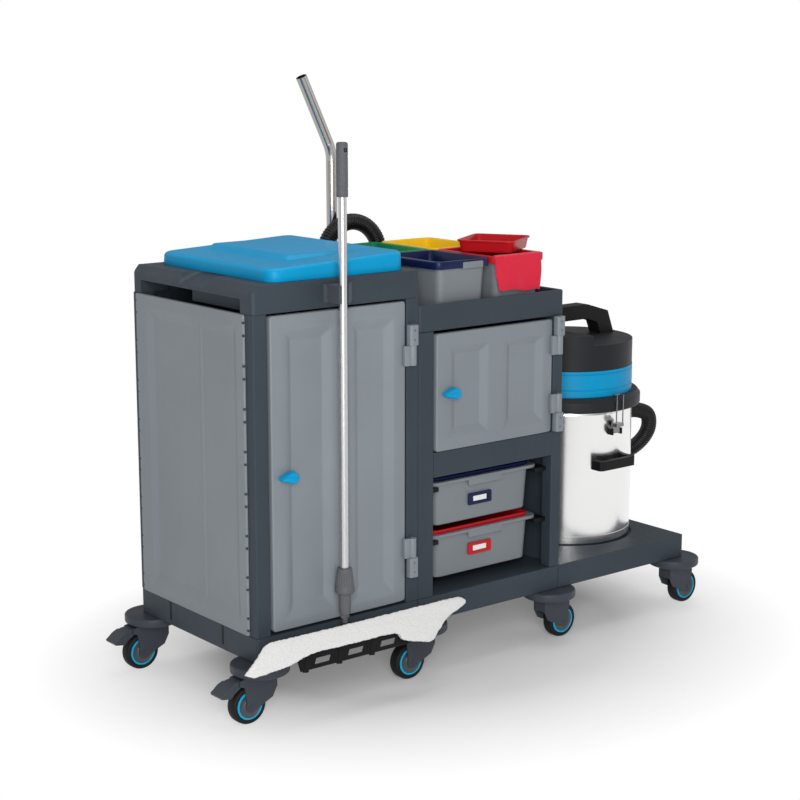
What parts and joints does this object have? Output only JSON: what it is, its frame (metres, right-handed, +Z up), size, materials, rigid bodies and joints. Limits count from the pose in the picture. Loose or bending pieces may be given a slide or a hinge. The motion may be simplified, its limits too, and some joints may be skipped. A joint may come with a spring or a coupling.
{
  "type": "janitor cart",
  "caption": "Modular cleaning cart on swivel casters with a lidded tall cabinet, a cabinet with pails and drawers, a tub vacuum on a low platform and a clipped flat mop.",
  "frame": {"origin": "on the floor under the middle of the three joined base trays", "axes": "+X along the cart from the tall cabinet to the vacuum, +Y from the front with the doors to the back, +Z up"},
  "size_m": [1.8268, 0.7819, 1.5942],
  "materials": {
    "frame_plastic": "moulded, fine grain",
    "panel_plastic": "moulded, satin",
    "blue_plastic": "moulded, semi gloss",
    "navy_plastic": "moulded, semi gloss",
    "red_plastic": "moulded, semi gloss",
    "green_plastic": "moulded, semi gloss",
    "yellow_plastic": "moulded, semi gloss",
    "red_fabric": "microfibre cloth",
    "white_fabric": "microfibre pile",
    "drum_steel": "bright brushed",
    "bright_steel": "polished",
    "pole_aluminium": "satin anodised",
    "hose_rubber": "ribbed, satin",
    "black_plastic": "moulded, satin",
    "caster_plastic": "moulded, satin",
    "wheel_tyre": "smooth tread"
  },
  "bodies": {
    "cart": {"tall_base": "frame_plastic", "mid_base": "frame_plastic", "vac_platform": "frame_plastic", "corner_posts": "frame_plastic", "tall_top_frame": "frame_plastic", "mid_top_tray": "frame_plastic", "mid_shelf": "frame_plastic", "end_panel": "panel_plastic", "inner_panels": "panel_plastic", "hinge_leaves": "panel_plastic", "drawer_runners": "black_plastic", "tool_clips": "frame_plastic", "caster_bumpers": "frame_plastic", "vac_drum": "drum_steel", "vac_band": "blue_plastic", "vac_head": "frame_plastic", "vac_fittings": "black_plastic", "vac_hose": "hose_rubber", "wand": "bright_steel"},
    "lid": {"waste_lid": "blue_plastic"},
    "tall_door": {"tall_door": "panel_plastic"},
    "tall_knob": {"tall_knob": "blue_plastic"},
    "mid_door": {"mid_door": "panel_plastic"},
    "mid_knob": {"mid_knob": "blue_plastic"},
    "upper_drawer": {"upper_drawer": "panel_plastic", "upper_drawer_trim": "navy_plastic"},
    "lower_drawer": {"lower_drawer": "panel_plastic", "lower_drawer_trim": "red_plastic"},
    "navy_pail": {"navy_pail": "panel_plastic", "navy_liner": "navy_plastic"},
    "red_pail": {"red_pail": "panel_plastic", "red_liner": "red_plastic", "red_cloth": "red_fabric"},
    "green_pail": {"green_pail": "green_plastic"},
    "yellow_pail": {"yellow_pail": "yellow_plastic"},
    "red_tray": {"red_tray": "red_plastic"},
    "latch_front": {"latch_front": "bright_steel"},
    "latch_rear": {"latch_rear": "bright_steel"},
    "mop": {"mop_pole": "pole_aluminium", "mop_fittings": "panel_plastic"},
    "mop_head": {"mop_plate": "black_plastic", "mop_cloth": "white_fabric"},
    "caster_1": {"fork_1": "caster_plastic"},
    "wheel_1": {"wheel_1": "wheel_tyre"},
    "caster_2": {"fork_2": "caster_plastic"},
    "wheel_2": {"wheel_2": "wheel_tyre"},
    "caster_3": {"fork_3": "caster_plastic"},
    "wheel_3": {"wheel_3": "wheel_tyre"},
    "caster_4": {"fork_4": "caster_plastic"},
    "wheel_4": {"wheel_4": "wheel_tyre"},
    "caster_5": {"fork_5": "caster_plastic"},
    "wheel_5": {"wheel_5": "wheel_tyre"},
    "caster_6": {"fork_6": "caster_plastic"},
    "wheel_6": {"wheel_6": "wheel_tyre"},
    "caster_7": {"fork_7": "caster_plastic"},
    "wheel_7": {"wheel_7": "wheel_tyre"},
    "caster_8": {"fork_8": "caster_plastic"},
    "wheel_8": {"wheel_8": "wheel_tyre"},
    "pedal_1": {"pedal_1": "caster_plastic"},
    "pedal_5": {"pedal_5": "caster_plastic"}
  },
  "joints": [
    {"name": "lid_hinge", "type": "hinge", "parent": "cart", "child": "lid", "pos_m": [-0.275, 0, 1.117], "axis": [0, 1, 0], "range_deg": [0, 95]},
    {"name": "tall_door_hinge", "type": "hinge", "parent": "cart", "child": "tall_door", "pos_m": [-0.29, -0.291, 0.629], "axis": [0, 0, 1], "range_deg": [0, 95]},
    {"name": "tall_knob_turn", "type": "hinge", "parent": "tall_door", "child": "tall_knob", "pos_m": [-0.678, -0.285, 0.623], "axis": [0, 1, 0], "range_deg": [0, 90]},
    {"name": "mid_door_hinge", "type": "hinge", "parent": "cart", "child": "mid_door", "pos_m": [0.234, -0.291, 0.774], "axis": [0, 0, 1], "range_deg": [0, 105]},
    {"name": "mid_knob_turn", "type": "hinge", "parent": "mid_door", "child": "mid_knob", "pos_m": [-0.149, -0.285, 0.771], "axis": [0, 1, 0], "range_deg": [0, 90]},
    {"name": "upper_drawer_slide", "type": "slide", "parent": "cart", "child": "upper_drawer", "axis": [0, -1, 0], "range_m": [0, 0.35]},
    {"name": "lower_drawer_slide", "type": "slide", "parent": "cart", "child": "lower_drawer", "axis": [0, -1, 0], "range_m": [0, 0.35]},
    {"name": "navy_pail_lift", "type": "slide", "parent": "cart", "child": "navy_pail", "axis": [0, 0, 1], "range_m": [0, 0.25]},
    {"name": "red_pail_lift", "type": "slide", "parent": "cart", "child": "red_pail", "axis": [0, 0, 1], "range_m": [0, 0.25]},
    {"name": "green_pail_lift", "type": "slide", "parent": "cart", "child": "green_pail", "axis": [0, 0, 1], "range_m": [0, 0.25]},
    {"name": "yellow_pail_lift", "type": "slide", "parent": "cart", "child": "yellow_pail", "axis": [0, 0, 1], "range_m": [0, 0.25]},
    {"name": "red_tray_lift", "type": "slide", "parent": "red_pail", "child": "red_tray", "axis": [0, 0, 1], "range_m": [0, 0.15]},
    {"name": "mop_lift_off", "type": "slide", "parent": "cart", "child": "mop", "axis": [0, -1, 0], "range_m": [0, 0.67]},
    {"name": "mop_head_tilt", "type": "hinge", "parent": "mop", "child": "mop_head", "pos_m": [-0.54, -0.325, 0.215], "axis": [-1, 0, 0], "range_deg": [0, 35]},
    {"name": "latch_front_swing", "type": "hinge", "parent": "cart", "child": "latch_front", "pos_m": [0.552, -0.207, 0.558], "axis": [1, 0, 0], "range_deg": [0, 80]},
    {"name": "latch_rear_swing", "type": "hinge", "parent": "cart", "child": "latch_rear", "pos_m": [0.552, 0.207, 0.558], "axis": [-1, 0, 0], "range_deg": [0, 80]},
    {"name": "caster_1_swivel", "type": "hinge", "parent": "cart", "child": "caster_1", "pos_m": [-0.76, -0.26, 0.127], "axis": [0, 0, 1], "continuous": true},
    {"name": "wheel_1_spin", "type": "hinge", "parent": "caster_1", "child": "wheel_1", "pos_m": [-0.802, -0.26, 0.05], "axis": [0, 1, 0], "continuous": true},
    {"name": "caster_2_swivel", "type": "hinge", "parent": "cart", "child": "caster_2", "pos_m": [-0.24, -0.26, 0.127], "axis": [0, 0, 1], "continuous": true},
    {"name": "wheel_2_spin", "type": "hinge", "parent": "caster_2", "child": "wheel_2", "pos_m": [-0.282, -0.26, 0.05], "axis": [0, 1, 0], "continuous": true},
    {"name": "caster_3_swivel", "type": "hinge", "parent": "cart", "child": "caster_3", "pos_m": [0.24, -0.26, 0.127], "axis": [0, 0, 1], "continuous": true},
    {"name": "wheel_3_spin", "type": "hinge", "parent": "caster_3", "child": "wheel_3", "pos_m": [0.282, -0.26, 0.05], "axis": [0, 1, 0], "continuous": true},
    {"name": "caster_4_swivel", "type": "hinge", "parent": "cart", "child": "caster_4", "pos_m": [0.76, -0.26, 0.127], "axis": [0, 0, 1], "continuous": true},
    {"name": "wheel_4_spin", "type": "hinge", "parent": "caster_4", "child": "wheel_4", "pos_m": [0.802, -0.26, 0.05], "axis": [0, 1, 0], "continuous": true},
    {"name": "caster_5_swivel", "type": "hinge", "parent": "cart", "child": "caster_5", "pos_m": [-0.76, 0.26, 0.127], "axis": [0, 0, 1], "continuous": true},
    {"name": "wheel_5_spin", "type": "hinge", "parent": "caster_5", "child": "wheel_5", "pos_m": [-0.802, 0.26, 0.05], "axis": [0, 1, 0], "continuous": true},
    {"name": "caster_6_swivel", "type": "hinge", "parent": "cart", "child": "caster_6", "pos_m": [-0.24, 0.26, 0.127], "axis": [0, 0, 1], "continuous": true},
    {"name": "wheel_6_spin", "type": "hinge", "parent": "caster_6", "child": "wheel_6", "pos_m": [-0.282, 0.26, 0.05], "axis": [0, 1, 0], "continuous": true},
    {"name": "caster_7_swivel", "type": "hinge", "parent": "cart", "child": "caster_7", "pos_m": [0.24, 0.26, 0.127], "axis": [0, 0, 1], "continuous": true},
    {"name": "wheel_7_spin", "type": "hinge", "parent": "caster_7", "child": "wheel_7", "pos_m": [0.282, 0.26, 0.05], "axis": [0, 1, 0], "continuous": true},
    {"name": "caster_8_swivel", "type": "hinge", "parent": "cart", "child": "caster_8", "pos_m": [0.76, 0.26, 0.127], "axis": [0, 0, 1], "continuous": true},
    {"name": "wheel_8_spin", "type": "hinge", "parent": "caster_8", "child": "wheel_8", "pos_m": [0.802, 0.26, 0.05], "axis": [0, 1, 0], "continuous": true},
    {"name": "pedal_1_press", "type": "hinge", "parent": "caster_1", "child": "pedal_1", "pos_m": [-0.828, -0.26, 0.114], "axis": [0, -1, 0], "range_deg": [0, 12]},
    {"name": "pedal_5_press", "type": "hinge", "parent": "caster_5", "child": "pedal_5", "pos_m": [-0.828, 0.26, 0.114], "axis": [0, -1, 0], "range_deg": [0, 12]}
  ],
  "couplings": [
    {"joint": "mop_lift_off", "follows": "tall_door_hinge", "m_per_rad": 0.4}
  ]
}
